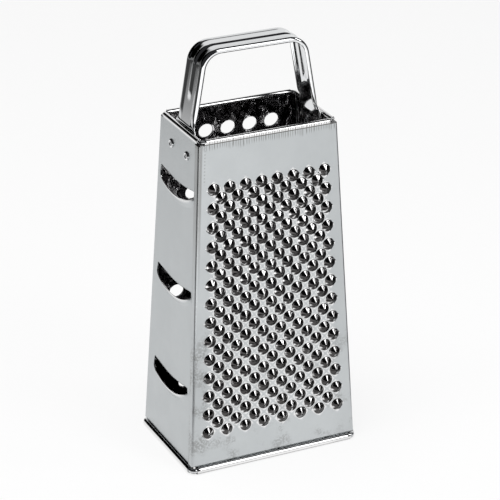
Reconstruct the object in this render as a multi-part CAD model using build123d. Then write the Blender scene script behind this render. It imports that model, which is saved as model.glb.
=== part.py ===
from build123d import *
import os
from math import acos, asin, atan2, cos, degrees, radians, sin

os.makedirs("parts", exist_ok=True)

# A four-sided box grater of thin bright sheet, all sizes in millimetres.
# It stands on its rolled bottom rim with its origin at the middle of the footprint and +Z up.
# The wide rasp side looks along -Y, the wide coarse side along +Y,
# the narrow slicer side along -X and the narrow fine side along +X.

# Body, measured over the outer faces of its four panels
body_height = 195.0
base_width = 101.0
base_depth = 67.5
top_width = 81.0
top_depth = 51.5
sheet = 0.5
seam_gap = 0.08
fold_radius = 1.3
lap_width = 4.5
flange_width = 4.0

# Bottom rim, rolled outward over its wire
base_wire_diameter = 2.8
base_wire_play = 0.1
base_wire_corner_radius = 3.6
base_curl_level = 4.6
base_curl_foot_depth = 0.1
base_curl_corner_relief = 4.0
base_curl_end_angle = 440.0

# Top rim, rolled inward over a thinner wire
top_wire_diameter = 1.7
top_wire_play = 0.05
top_wire_corner_radius = 2.4
top_curl_height = 3.7
top_curl_proud = 0.35
top_curl_corner_relief = 3.2
top_curl_end_angle = 278.0
wire_butt_gap = 0.6

# How far into the sheet a raised tooth is rooted
tooth_root_share = 0.7

# Rasp side: raised cones, each torn open at its tip
rasp_columns = 8
rasp_rows = 27
rasp_top_level = 166.5
rasp_bottom_level = 23.7
rasp_top_half_width = 33.03
rasp_bottom_half_width = 40.08
rasp_base_diameter = 7.0
rasp_tip_diameter = 1.5
rasp_tooth_height = 1.95
rasp_tear_diameter = 1.0

# Coarse side: round holes whose collars rise to a crest below each hole
coarse_columns = 5
coarse_rows = 14
coarse_top_level = 178.0
coarse_bottom_level = 22.0
coarse_top_half_width = 26.8
coarse_bottom_half_width = 33.0
coarse_hole_diameter = 8.2
coarse_base_diameter = 10.2
coarse_lip_diameter = 8.9
coarse_crest_height = 1.8
coarse_low_height = 0.3

# Fine side: the same collared hole, small
fine_columns = 6
fine_rows = 27
fine_top_level = 163.0
fine_bottom_level = 22.0
fine_top_half_width = 18.2
fine_bottom_half_width = 22.6
fine_hole_diameter = 3.4
fine_base_diameter = 4.7
fine_lip_diameter = 3.9
fine_crest_height = 1.1
fine_low_height = 0.2

# Slicer side: three curved slots, each with a raised blade along its lower edge
slot_levels = (155.7, 97.3, 39.4)
slot_half_length = 23.0
slot_height = 7.1
slot_upper_sag = 2.8
slot_lower_sag = 5.2
slot_end_radius = 3.5
blade_half_length = 20.6
blade_ramp_height = 5.0
blade_proud = 2.4
blade_edge_thickness = 0.25
blade_root = 0.4
blade_root_top_share = 0.1
blade_root_bottom_share = 0.9

# Handle: one pressed strap whose feet are riveted inside the narrow panels
handle_top_level = 238.2
strap_sheet = 0.8
strap_width = 19.8
strap_flange_depth = 1.3
strap_bend_radius = 11.5
leg_half_span = 37.3
leg_span_level = 196.0
leg_lean_span = 5.5
leg_lean_height = 32.0
foot_bottom_level = 170.5
foot_width = 27.0
foot_corner_radius = 4.0
foot_shoulder_level = 194.0
foot_shoulder_radius = 2.5
foot_bend_level = 186.0
foot_bend_height = 5.0
foot_bend_radius = 4.0
bead_width = 5.0
bead_proud = 0.8
bead_end_level = 210.0
flange_end_level = 199.0

# Rivets, hollow in the middle of the head
rivet_level = 181.3
rivet_half_spacing = 10.2
rivet_head_diameter = 5.2
rivet_head_height = 0.9
rivet_shank_diameter = 3.0
rivet_hollow_diameter = 2.0
rivet_hollow_depth = 0.6
rivet_tail_diameter = 4.6
rivet_tail_thickness = 0.4
rivet_play = 0.05

# Cuts run this far past the faces they go through
overrun = 2.0


def half_width(level):
    """Half the body's width at a height, over the narrow panels' outer faces."""
    return (base_width + (top_width - base_width) * level / body_height) / 2


def half_depth(level):
    """Half the body's depth at a height, over the wide panels' outer faces."""
    return (base_depth + (top_depth - base_depth) * level / body_height) / 2


def strip_face(points, radii, thickness, side):
    """A band of sheet along a folded line: side is +1 or -1, for the left or right of its run."""
    outer = [Vector(*point) for point in points]
    steps = [(b - a).normalized() for a, b in zip(outer, outer[1:])]
    normals = [Vector(-step.Y, step.X) * side for step in steps]
    mitres = [(a + b) / (1 + a.dot(b)) for a, b in zip(normals, normals[1:])]
    inner = [p + s * thickness for p, s in zip(outer, [normals[0], *mitres, normals[-1]])]
    turns = [side if a.cross(b).Z > 0 else -side for a, b in zip(steps, steps[1:])]
    inner_radii = [radius - turn * thickness for radius, turn in zip(radii, turns)]
    outer_line = FilletPolyline(*outer, radius=list(radii))
    inner_line = FilletPolyline(*inner, radius=inner_radii)
    ends = [Line(outer[0], inner[0]), Line(outer[-1], inner[-1])]
    return make_face([*outer_line.edges(), *inner_line.edges(), *ends])


def touch_angle(point, centre, radius):
    """The angle, in degrees, at which a line from a point touches a circle on its left side."""
    reach = point - centre
    return degrees(atan2(reach.Y, reach.X) + acos(radius / reach.length))


def on_circle(centre, radius, angle):
    """The point of a circle at an angle in degrees."""
    return centre + Vector(cos(radians(angle)), sin(radians(angle))) * radius


def curl_face(far_point, near_point, centre, far_radius, near_radius, end_angle):
    """Section of a rim: the sheet leaves its panel at two points and curls round its wire."""
    far_angle = touch_angle(far_point, centre, far_radius)
    near_angle = touch_angle(near_point, centre, near_radius)
    return make_face([
        Line(far_point, near_point),
        Line(far_point, on_circle(centre, far_radius, far_angle)),
        Line(near_point, on_circle(centre, near_radius, near_angle)),
        CenterArc(centre, far_radius, far_angle, end_angle - far_angle),
        CenterArc(centre, near_radius, near_angle, end_angle - near_angle),
        Line(on_circle(centre, far_radius, end_angle), on_circle(centre, near_radius, end_angle)),
    ])


# Wire centres and rim radii, shared by the panels and the wires
base_curl_inside = base_wire_diameter / 2 + base_wire_play
base_curl_outside = base_curl_inside + sheet
base_wire_level = base_curl_outside - base_curl_foot_depth
top_curl_inside = top_wire_diameter / 2 + top_wire_play
top_curl_outside = top_curl_inside + sheet
top_wire_level = body_height - top_curl_outside
top_wire_inset = top_curl_outside - top_curl_proud
top_curl_level = body_height - top_curl_height


def panel_rims(outward, reach, run):
    """Both rims of one panel: reach and run give half the body across and along it at a height."""
    section_plane = Plane(origin=(0, 0, 0), x_dir=outward, z_dir=outward.cross(Vector(0, 0, 1)))
    base = curl_face(
        Vector(reach(base_curl_level) - sheet, base_curl_level),
        Vector(reach(base_curl_level), base_curl_level),
        Vector(reach(base_wire_level), base_wire_level),
        base_curl_outside, base_curl_inside, base_curl_end_angle)
    top = curl_face(
        Vector(reach(top_curl_level), top_curl_level),
        Vector(reach(top_curl_level) - sheet, top_curl_level),
        Vector(reach(top_wire_level) - top_wire_inset, top_wire_level),
        top_curl_outside, top_curl_inside, top_curl_end_angle)
    base_run = run(base_wire_level) - base_curl_corner_relief
    top_run = run(top_wire_level) - top_curl_corner_relief
    return [extrude(section_plane * base, amount=base_run, both=True),
            extrude(section_plane * top, amount=top_run, both=True)]


ground = Pos(0, 0, -overrun / 2) * Box(2 * base_width, 2 * base_depth, overrun)


def panel_sheet(section):
    """The flat of a panel with its folded edges, between its two rims."""
    return loft([Pos(0, 0, level) * section(level) for level in (base_curl_level, top_curl_level)],
                ruled=True)


def rasp_section(level):
    """Front sheet: its edges wrap round onto the outside of the narrow panels."""
    across = half_width(level) + seam_gap + sheet
    front = -half_depth(level)
    points = [(-across, front + lap_width), (-across, front),
              (across, front), (across, front + lap_width)]
    return strip_face(points, [fold_radius, fold_radius], sheet, 1)


def coarse_section(level):
    """Back sheet: its edges turn forward inside the narrow panels."""
    across = half_width(level) - sheet - seam_gap
    back = half_depth(level)
    inside_radius = fold_radius - sheet - seam_gap
    points = [(-across, back - flange_width), (-across, back),
              (across, back), (across, back - flange_width)]
    return strip_face(points, [inside_radius, inside_radius], sheet, -1)


def narrow_section(level, side):
    """Side sheet: it turns in behind the front sheet and laps over the back one."""
    across = side * half_width(level)
    front = -half_depth(level) + sheet + seam_gap
    back = half_depth(level) + seam_gap + sheet
    points = [(across - side * flange_width, front), (across, front),
              (across, back), (across - side * lap_width, back)]
    return strip_face(points, [fold_radius - sheet - seam_gap, fold_radius], sheet, side)


def wide_place(along, level, side):
    """A spot on a wide panel's outer face: x sideways, y up the panel, z outward."""
    up = Vector(0, side * (half_depth(level + sheet) - half_depth(level)), sheet)
    return Plane(origin=(along, side * half_depth(level), level), x_dir=(-side, 0, 0),
                 z_dir=Vector(-side, 0, 0).cross(up))


def narrow_place(along, level, side):
    """A spot on a narrow panel's outer face: x sideways, y up the panel, z outward."""
    up = Vector(side * (half_width(level + sheet) - half_width(level)), 0, sheet)
    return Plane(origin=(side * half_width(level), along, level), x_dir=(0, side, 0),
                 z_dir=Vector(0, side, 0).cross(up))


def staggered(columns, rows, top, bottom, top_half, bottom_half):
    """Places of a staggered pattern that widens downwards: every second row has one fewer."""
    places = []
    for row in range(rows):
        down_share = row / (rows - 1)
        level = top + (bottom - top) * down_share
        half = top_half + (bottom_half - top_half) * down_share
        pitch = 2 * half / (columns - 1)
        count = columns - row % 2
        places += [((index - (count - 1) / 2) * pitch, level) for index in range(count)]
    return places


def rasp_tooth_pieces():
    """A solid cone for the outside of a tooth, and the hollow that is cut out of it."""
    base_radius, tip_radius = rasp_base_diameter / 2, rasp_tip_diameter / 2
    slope = (base_radius - tip_radius) / rasp_tooth_height
    bite = sheet * tooth_root_share
    outside = Pos(0, 0, -bite) * Cone(
        base_radius + bite * slope, tip_radius, rasp_tooth_height + bite,
        align=(Align.CENTER, Align.CENTER, Align.MIN))
    wall_rise = sheet * (1 + slope ** -2) ** 0.5
    tear_radius = rasp_tear_diameter / 2
    tear_level = (base_radius - tear_radius) / slope - wall_rise
    low, high = -sheet - overrun, rasp_tooth_height + overrun
    mouth_radius = base_radius + slope * (sheet - wall_rise)
    profile = make_face(Polyline(
        (0, low), (mouth_radius, low), (mouth_radius, -sheet), (tear_radius, tear_level),
        (tear_radius, high), (0, high), close=True))
    return outside, revolve(Plane.XZ * profile, Axis.Z)


def collared_hole_pieces(hole, base, lip, crest, low):
    """A collar cut aslant, tallest below its hole, and the hole's own cutter."""
    bite = sheet * tooth_root_share
    collar = Pos(0, 0, -bite) * Cone(
        base / 2, lip / 2, crest + bite, align=(Align.CENTER, Align.CENTER, Align.MIN))
    slant = Plane(origin=(0, -lip / 2, crest), z_dir=(0, crest - low, lip))
    cutter = Pos(0, 0, crest / 2) * Cylinder(hole / 2, crest + 2 * overrun)
    return split(collar, bisect_by=slant, keep=Keep.BOTTOM), cutter


def add_teeth(panel, pieces, places):
    """Raise a tooth at each place of a panel and open it through the sheet."""
    raised, hollow = pieces
    panel = panel + [place * raised for place in places]
    return panel - [place * hollow for place in places]


def rasp_panel():
    """Wide front sheet with its cones."""
    rims = panel_rims(Vector(0, -1, 0), half_depth, half_width)
    panel = panel_sheet(rasp_section) + rims - ground
    places = staggered(rasp_columns, rasp_rows, rasp_top_level, rasp_bottom_level,
                       rasp_top_half_width, rasp_bottom_half_width)
    return add_teeth(panel, rasp_tooth_pieces(), [wide_place(x, z, -1) for x, z in places])


def coarse_panel():
    """Wide back sheet with its large collared holes."""
    rims = panel_rims(Vector(0, 1, 0), half_depth, half_width)
    panel = panel_sheet(coarse_section) + rims - ground
    pieces = collared_hole_pieces(coarse_hole_diameter, coarse_base_diameter,
                                  coarse_lip_diameter, coarse_crest_height, coarse_low_height)
    places = staggered(coarse_columns, coarse_rows, coarse_top_level, coarse_bottom_level,
                       coarse_top_half_width, coarse_bottom_half_width)
    return add_teeth(panel, pieces, [wide_place(x, z, 1) for x, z in places])


def rivet_holes(side):
    """Cutters for the two rivet holes of a narrow panel and of the foot behind it."""
    reach = 2 * (overrun + strap_sheet + sheet)
    hole = Cylinder(rivet_shank_diameter / 2 + rivet_play, reach)
    return [narrow_place(along, rivet_level, side) * hole
            for along in (-rivet_half_spacing, rivet_half_spacing)]


def narrow_blank(side):
    """A side sheet with its rims and rivet holes."""
    rims = panel_rims(Vector(side, 0, 0), half_width, half_depth)
    panel = panel_sheet(lambda level: narrow_section(level, side)) + rims - ground
    return panel - rivet_holes(side)


def fine_panel():
    """Narrow right sheet with its small collared holes."""
    pieces = collared_hole_pieces(fine_hole_diameter, fine_base_diameter,
                                  fine_lip_diameter, fine_crest_height, fine_low_height)
    places = staggered(fine_columns, fine_rows, fine_top_level, fine_bottom_level,
                       fine_top_half_width, fine_bottom_half_width)
    return add_teeth(narrow_blank(1), pieces, [narrow_place(y, z, 1) for y, z in places])


def arc_radius(half, sag):
    """The radius of an arc that sinks by a sag over half its chord."""
    return (half ** 2 + sag ** 2) / (2 * sag)


def slot_cutter():
    """The curved window of one slot, from the blade's root up to the slot's upper edge."""
    half = slot_half_length
    edge_radius = arc_radius(slot_half_length, slot_lower_sag)
    root_radius = edge_radius + blade_ramp_height
    low_end = edge_radius - (root_radius ** 2 - half ** 2) ** 0.5
    high_end = slot_height + slot_upper_sag
    window = make_face([
        ThreePointArc((-half, high_end), (0, slot_height), (half, high_end)),
        Line((-half, low_end), (-half, high_end)),
        Line((half, low_end), (half, high_end)),
        ThreePointArc((-half, low_end), (0, -blade_ramp_height), (half, low_end)),
    ])
    window = fillet(window.vertices(), slot_end_radius)
    return extrude(window, amount=overrun, both=True)


def slot_blade():
    """The strip below a slot, lifted to an edge: a slanted section turned about the arc's centre."""
    edge_radius = arc_radius(slot_half_length, slot_lower_sag)
    root_radius = edge_radius + blade_ramp_height + blade_root
    section = make_face(Polyline(
        (root_radius, -sheet * blade_root_top_share), (edge_radius, blade_proud),
        (edge_radius, blade_proud - blade_edge_thickness),
        (root_radius, -sheet * blade_root_bottom_share), close=True))
    half_angle = degrees(asin(blade_half_length / edge_radius))
    turned = revolve(Plane.XZ * section, Axis.Z, revolution_arc=2 * half_angle)
    quarter_turn = 90
    return Pos(0, edge_radius, 0) * Rot(0, 0, -quarter_turn - half_angle) * turned


def slicer_panel():
    """Narrow left sheet with its three bladed slots."""
    panel = narrow_blank(-1)
    places = [narrow_place(0, level, -1) for level in slot_levels]
    panel = panel - [place * slot_cutter() for place in places]
    return panel + [place * slot_blade() for place in places]


def rim_wire(level, inset, diameter, corner_radius):
    """A bent wire in a rim, its two ends almost meeting in the middle of the back."""
    x, y = half_width(level) - inset, half_depth(level) - inset
    start = wire_butt_gap / 2
    route = FilletPolyline((start, y), (x, y), (x, -y), (-x, -y), (-x, y), (-start, y),
                           radius=corner_radius)
    round_section = Plane(origin=(start, y, 0), z_dir=(1, 0, 0)) * Circle(diameter / 2)
    return Pos(0, 0, level) * sweep(round_section, path=route)


def leg_reach(level):
    """Half the handle's span over the outside of its legs, at a height."""
    return leg_half_span - (level - leg_span_level) * leg_lean_span / leg_lean_height


def mirrored(points):
    """Points of the right half, followed by their mirror images in reverse."""
    return points + [(-x, z) for x, z in reversed(points)]


def strap_front_view():
    """The strap seen from its side: a wide foot with round lower corners, then the narrower leg."""
    foot_height = foot_shoulder_level - foot_bottom_level
    leg_height = handle_top_level + overrun - foot_bottom_level
    view = (Pos(0, foot_bottom_level + foot_height / 2) * Rectangle(foot_width, foot_height)
            + Pos(0, foot_bottom_level + leg_height / 2) * Rectangle(strap_width, leg_height))
    view = fillet(view.vertices().group_by(Axis.Y)[0], foot_corner_radius)
    shoulders = view.vertices().filter_by(
        lambda corner: abs(corner.Y - foot_shoulder_level) < foot_shoulder_radius
        and abs(corner.X) < foot_width / 2 - foot_shoulder_radius)
    return extrude(Plane.YZ * fillet(shoulders, foot_shoulder_radius), amount=base_width, both=True)


def strap_band(start_level, depth, side):
    """The part of the strap above a level, in front view, grown to one side by a depth."""
    line = mirrored([(leg_reach(start_level), start_level),
                     (leg_reach(handle_top_level), handle_top_level)])
    return Plane.XZ * strip_face(line, [strap_bend_radius, strap_bend_radius], depth, side)


def bead_view(half):
    """A prism across the handle that is the bead seen from its side, with round lower ends."""
    centre_level = bead_end_level + bead_width / 2
    height = handle_top_level + overrun - centre_level
    view = (Pos(0, centre_level) * Circle(half)
            + Pos(0, centre_level + height / 2) * Rectangle(2 * half, height))
    return extrude(Plane.YZ * view, amount=base_width, both=True)


def bead_layer(depth, side, half):
    """One layer of the bead: a band of the strap, as wide as the bead or its hollow."""
    band = extrude(strap_band(flange_end_level, depth, side), amount=bead_width, both=True)
    return band & bead_view(half)


def handle():
    """The strap: feet inside the narrow panels, leaning legs, and a top between two round bends."""
    foot_inset = sheet + seam_gap
    bend_end = foot_bend_level + foot_bend_height
    outline = mirrored([
        (half_width(foot_bottom_level) - foot_inset, foot_bottom_level),
        (half_width(foot_bend_level) - foot_inset, foot_bend_level),
        (leg_reach(bend_end), bend_end),
        (leg_reach(handle_top_level), handle_top_level)])
    radii = [foot_bend_radius, foot_bend_radius, strap_bend_radius,
             strap_bend_radius, foot_bend_radius, foot_bend_radius]
    strap = extrude(Plane.XZ * strip_face(outline, radii, strap_sheet, 1),
                    amount=foot_width / 2, both=True) & strap_front_view()

    lip = extrude(strap_band(flange_end_level, strap_sheet + strap_flange_depth, 1),
                  amount=strap_sheet / 2, both=True)
    lip_offset = (strap_width - strap_sheet) / 2
    strap += [Pos(0, lip_offset, 0) * lip, Pos(0, -lip_offset, 0) * lip]

    raised = bead_layer(bead_proud, -1, bead_width / 2)
    hollow = bead_layer(strap_sheet, 1, bead_width / 2 - strap_sheet)
    return strap + raised - hollow - rivet_holes(1) - rivet_holes(-1)


def rivet(along, side):
    """One hollow-headed rivet, upset inside against the handle's foot."""
    head, shank = rivet_head_diameter / 2, rivet_shank_diameter / 2
    hollow, tail = rivet_hollow_diameter / 2, rivet_tail_diameter / 2
    head_brim = rivet_head_height / 3
    grip = -(sheet + seam_gap + strap_sheet + rivet_play)
    tail_end = grip - rivet_tail_thickness
    crown = ThreePointArc((hollow, rivet_head_height - head_brim),
                          ((head + hollow) / 2, rivet_head_height), (head, head_brim))
    below = Polyline((head, head_brim), (head, rivet_play), (shank, rivet_play), (shank, grip),
                     (tail, grip), (tail, tail_end), (0, tail_end), (0, -rivet_hollow_depth),
                     (hollow, -rivet_hollow_depth), (hollow, rivet_head_height - head_brim))
    profile = make_face([crown, *below.edges()])
    return narrow_place(along, rivet_level, side) * revolve(Plane.XZ * profile, Axis.Z)


def rim_wires():
    """The two bent wires, lower and upper."""
    return {
        "base_rim_wire": rim_wire(base_wire_level, 0, base_wire_diameter, base_wire_corner_radius),
        "top_rim_wire": rim_wire(top_wire_level, top_wire_inset, top_wire_diameter,
                                 top_wire_corner_radius),
    }


def rivets():
    """The four rivets, named by the side and the end of the side that they are at."""
    return {
        f"{side_name}_{end_name}_rivet": rivet(end * rivet_half_spacing, side)
        for side_name, side in (("left", -1), ("right", 1))
        for end_name, end in (("front", -1), ("back", 1))
    }


nodes = {
    "rasp_panel": rasp_panel(),
    "coarse_panel": coarse_panel(),
    "slicer_panel": slicer_panel(),
    "fine_panel": fine_panel(),
    "handle": handle(),
    **rim_wires(),
    **rivets(),
}
for name, solid in nodes.items():
    export_step(solid, f"parts/{name}.step")
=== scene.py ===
# %% [markdown]
# A four-sided box grater
#
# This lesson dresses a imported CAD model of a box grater. The real thing is eleven pieces of bright
# metal: four pressed panels, two wires in the rolled rims, one strap handle and four rivets.
# Almost everything that catches the eye is reflection, so the shapes have to be smooth and the
# room around the grater has to be as simple as a photographer's tent: pale floor, soft lamps, dark rest.

# %% Load the frame
import bpy
import numpy as np
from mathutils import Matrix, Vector


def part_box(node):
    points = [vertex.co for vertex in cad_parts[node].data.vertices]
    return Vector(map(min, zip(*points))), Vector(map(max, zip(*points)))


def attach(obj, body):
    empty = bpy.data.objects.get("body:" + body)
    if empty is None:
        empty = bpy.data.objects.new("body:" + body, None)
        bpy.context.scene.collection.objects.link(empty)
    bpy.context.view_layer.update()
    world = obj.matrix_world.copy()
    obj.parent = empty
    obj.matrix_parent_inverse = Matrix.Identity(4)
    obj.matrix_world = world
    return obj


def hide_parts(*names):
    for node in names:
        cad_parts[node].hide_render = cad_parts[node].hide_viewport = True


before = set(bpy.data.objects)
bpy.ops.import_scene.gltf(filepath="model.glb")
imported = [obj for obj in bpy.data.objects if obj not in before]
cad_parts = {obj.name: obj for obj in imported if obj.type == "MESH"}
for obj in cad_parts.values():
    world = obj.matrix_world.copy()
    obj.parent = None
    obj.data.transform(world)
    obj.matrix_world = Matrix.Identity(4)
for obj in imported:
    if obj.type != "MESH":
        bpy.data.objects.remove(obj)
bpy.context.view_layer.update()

# %% [markdown]
# Sizes
#
# Blender works in metres here and a kitchen tool is measured in millimetres, so one value turns
# one into the other. The body's height is read back from the CAD nodes, its widths are given here,
# and the sheet's own sizes are written next to the piece that needs them.

# %% Sizes shared by the whole body
MM = 0.001
sheet = 0.5 * MM
seam_gap = 0.08 * MM
fold_radius = 1.3 * MM
lap_width = 4.5 * MM
flange_width = 4.0 * MM

body_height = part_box("rasp_panel")[1].z
base_width, base_depth = 101.0 * MM, 67.5 * MM
top_width, top_depth = 81.0 * MM, 51.5 * MM
print("body height, mm:", round(body_height / MM, 2))


def half_width(level):
    """Half the body over its narrow panels' outer faces: a straight line from base to top."""
    return (base_width + (top_width - base_width) * level / body_height) / 2


def half_depth(level):
    """Half the body over its wide panels' outer faces: a straight line from base to top."""
    return (base_depth + (top_depth - base_depth) * level / body_height) / 2


# %% [markdown]
# From arrays to a mesh
#
# Every surface below is worked out as numpy arrays of polygon corners. One function welds corners
# that fall on the same spot and hands the whole mesh to Blender at once. Two polygons that share an
# edge only have to compute it the same way, and the weld makes them neighbours. A value that
# travels with each corner, here called polish, becomes an attribute that the materials can read.

# %% Weld polygons into one object
weld_step = 0.002 * MM


def make_object(name, polygons, polish=None):
    """One mesh object from arrays of polygon corners, each array of shape (count, sides, 3)."""
    corners = np.concatenate([group.reshape(-1, 3) for group in polygons])
    sides = np.concatenate([np.full(len(group), group.shape[1]) for group in polygons])
    keys = np.round(corners / weld_step).astype(np.int64)
    _, first, where = np.unique(keys, axis=0, return_index=True, return_inverse=True)
    where = where.reshape(-1)
    mesh = bpy.data.meshes.new(name)
    mesh.vertices.add(len(first))
    mesh.vertices.foreach_set("co", corners[first].astype(np.float32).ravel())
    mesh.loops.add(len(where))
    mesh.loops.foreach_set("vertex_index", where.astype(np.int32))
    mesh.polygons.add(len(sides))
    mesh.polygons.foreach_set("loop_start", (np.cumsum(sides) - sides).astype(np.int32))
    mesh.update(calc_edges=True)
    mesh.validate()
    mesh.polygons.foreach_set("use_smooth", np.ones(len(mesh.polygons), bool))
    if polish is not None:
        values = np.concatenate([np.asarray(group).ravel() for group in polish])
        attribute = mesh.attributes.new("polish", "FLOAT", "POINT")
        attribute.data.foreach_set("value", values[first].astype(np.float32))
    thing = bpy.data.objects.new(name, mesh)
    bpy.context.scene.collection.objects.link(thing)
    return thing


def quads(points):
    """The cells of a grid of points (rows, columns, values) as polygons of four corners."""
    return np.stack([points[:-1, :-1], points[:-1, 1:], points[1:, 1:], points[1:, :-1]],
                    axis=2).reshape(-1, 4, points.shape[-1])


def ring(points, axis):
    """A grid closed on itself along an axis: its first line of points is repeated at the end."""
    return np.concatenate([points, np.take(points, [0], axis=axis)], axis=axis)


def wall(thing, thickness, offset):
    """Give a surface its sheet thickness: offset 0 puts half of it on either side."""
    solid = thing.modifiers.new("sheet", "SOLIDIFY")
    solid.thickness, solid.offset = thickness, offset
    solid.use_even_offset, solid.use_rim = True, True
    solid.thickness_clamp = 0
    weights = thing.modifiers.new("flat shading weights", "WEIGHTED_NORMAL")
    weights.keep_sharp, weights.weight = False, 80
    return thing


def bright_inside(thing):
    """Let the sheet's inner face use the second material in the object's list."""
    thing.modifiers["sheet"].material_offset = 1
    return thing


# %% [markdown]
# How a panel is laid out
#
# A panel is one sheet. In the middle it is flat and leans with the body, its side edges are folded
# once, and its top and bottom edges are curled round a wire. So a panel is a grid whose columns run
# up the panel and whose rows run across it. Beyond the flat, the rows follow the curl, and at the
# sides the columns follow the fold. Where there are teeth, a block of the grid is left out and
# filled with cells that have a tooth in the middle.
#
# Everything is written in a panel's own terms: s across to the right as seen from outside, u out
# from the body's axis, and z up. One small class turns these into the room's x, y and z.

# %% A panel's own axes
class Side:
    """One of the body's four sides: its outward direction, its reach and its half length."""

    def __init__(self, outward, reach, run):
        self.outward = np.array(outward, float)
        self.across = np.cross([0, 0, 1], self.outward)
        self.reach, self.run = reach, run

    def place(self, s, u, z):
        """Room coordinates of arrays s, u and z that broadcast together."""
        s, u, z = np.broadcast_arrays(s, u, z)
        return (s[..., None] * self.across + u[..., None] * self.outward
                + z[..., None] * np.array([0.0, 0.0, 1.0]))


front = Side((0, -1, 0), half_depth, half_width)
back = Side((0, 1, 0), half_depth, half_width)
left = Side((-1, 0, 0), half_width, half_depth)
right = Side((1, 0, 0), half_width, half_depth)

print("front panel faces", front.outward, "and runs across along", front.across)

# %% [markdown]
# The curls
#
# A curl is a straight run that meets a circle as a tangent and then follows it. The bottom rim is
# curled outward round a 2.8 mm wire, the top rim inward round a 1.7 mm wire. The profile is the
# middle of the sheet, because the thickness is added later to both sides alike.
#
# A curl's level is where the panel's flat ends, its relief is how far short of the corner it stops,
# and its end is the angle, in degrees, at which the sheet's cut edge lies.

# %% Curl profiles
base_wire_radius, base_wire_play = 1.4 * MM, 0.1 * MM
base_curl_level, base_curl_relief = 4.6 * MM, 2.6 * MM
base_curl_end = 440.0
top_wire_radius, top_wire_play = 0.85 * MM, 0.05 * MM
top_curl_level, top_curl_relief = body_height - 2.7 * MM, 3.2 * MM
top_curl_proud, top_curl_end = 0.35 * MM, 278.0

base_curl_radius = base_wire_radius + base_wire_play + sheet / 2
base_wire_level = base_curl_radius + sheet / 2
top_curl_radius = top_wire_radius + top_wire_play + sheet / 2
top_wire_level = body_height - top_curl_radius - sheet / 2
top_wire_inset = top_curl_radius + sheet / 2 - top_curl_proud


def curl(start, centre, radius, end_angle, steps=30):
    """Points (u, z) of a curl: from start to its tangent point, then round the circle to an angle."""
    reach = np.subtract(start, centre)
    first = np.arctan2(reach[1], reach[0]) + np.arccos(radius / np.hypot(*reach))
    angles = np.linspace(first, np.radians(end_angle), steps)
    circle = np.column_stack([centre[0] + radius * np.cos(angles),
                              centre[1] + radius * np.sin(angles)])
    return np.vstack([[start], circle])


print("wire levels, mm:", round(base_wire_level / MM, 2), round(top_wire_level / MM, 2))

# %% [markdown]
# The folds
#
# The front sheet's edges lap over the narrow panels, the narrow panels' rear edges lap over the
# back sheet, and every covered edge has a small flange turned in behind the one that covers it.
# A fold is a quarter circle and then a straight run, measured from the panel's corner.

# %% Fold profiles
def fold(radius, width, steps=7):
    """Points (s, u) from a panel's corner, middle of the sheet: a quarter turn, then straight in."""
    angles = np.radians(np.linspace(90, 0, steps))
    bend = radius - sheet / 2
    turn = np.column_stack([bend * np.cos(angles) - radius, bend * np.sin(angles) - radius])
    return np.vstack([turn, [[-sheet / 2, -radius - seam_gap * 4], [-sheet / 2, -width]]])


nested_radius = fold_radius - sheet - seam_gap
lap = (sheet + seam_gap, fold(fold_radius, lap_width))
hidden_flange = (-sheet - seam_gap, fold(nested_radius, flange_width))
print("the laps reach in, mm:", lap_width / MM, "and the hidden flanges:", flange_width / MM)

# %% [markdown]
# One grid for every panel
#
# Flat, folds and curls are grids that share their edge points, so the weld makes one sheet of them.
# A short shoulder before each fold and curl keeps the shading of the flat even right up to the bend.

# %% The plain grid of one panel
shoulder = 0.6 * MM


def panel_grid(side, levels, columns, left_edge, right_edge):
    """Grids of a panel's flat, its two folds and its two curls.

    columns(z) gives the flat's s positions at height z, and the curls end at the first and last of
    them. A fold adds its profile to the corner's s and the side's reach. A curl carries its profile
    of u and z straight across."""
    flat_s = np.array([columns(z) for z in levels])
    flat_u = np.array([side.reach(z) - sheet / 2 for z in levels])[:, None]
    z = np.asarray(levels)[:, None]
    parts = {"flat": side.place(flat_s, flat_u, z)}
    for name, sign, (edge, profile) in (("right", 1, right_edge), ("left", -1, left_edge)):
        corner = np.array([side.run(level) for level in levels])[:, None] + edge
        inner = np.array([columns(level)[-1 if sign > 0 else 0] for level in levels])[:, None]
        before = sign * (corner + profile[0, 0]) - sign * shoulder
        s = np.hstack([inner, before, sign * (corner + profile[:, 0])])
        reach = np.array([side.reach(level) for level in levels])[:, None]
        u = np.hstack([reach - sheet / 2, reach - sheet / 2, reach + profile[:, 1]])
        grid = side.place(s, u, z)
        parts[name] = grid if sign > 0 else grid[:, ::-1]
    for name, level, centre, radius, end in (
            ("base", base_curl_level, (side.reach(base_wire_level), base_wire_level),
             base_curl_radius, base_curl_end),
            ("top", top_curl_level, (side.reach(top_wire_level) - top_wire_inset, top_wire_level),
             top_curl_radius, top_curl_end)):
        profile = curl((side.reach(level) - sheet / 2, level), centre, radius, end)
        s = columns(level)[None, :]
        grid = side.place(s, profile[:, :1], profile[:, 1:])
        parts[name] = grid[::-1] if name == "base" else grid
    return parts


def shine(points, value):
    """The polish value of each polygon corner in an array."""
    return np.full(points.shape[:-1], value)


# %% [markdown]
# A field of teeth
#
# Teeth stand in staggered rows, so the spots half way between them form the corners of diamonds,
# and diamonds tile the field with no gaps. Each diamond has sixteen points round its edge. Rings of
# sixteen points lead from there to the tooth's foot, up its flank and to its lip. All teeth are
# computed at once: an array of centres, an array of diamonds and a table of rings.

# %% Staggered field
SECTORS = 16


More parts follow.
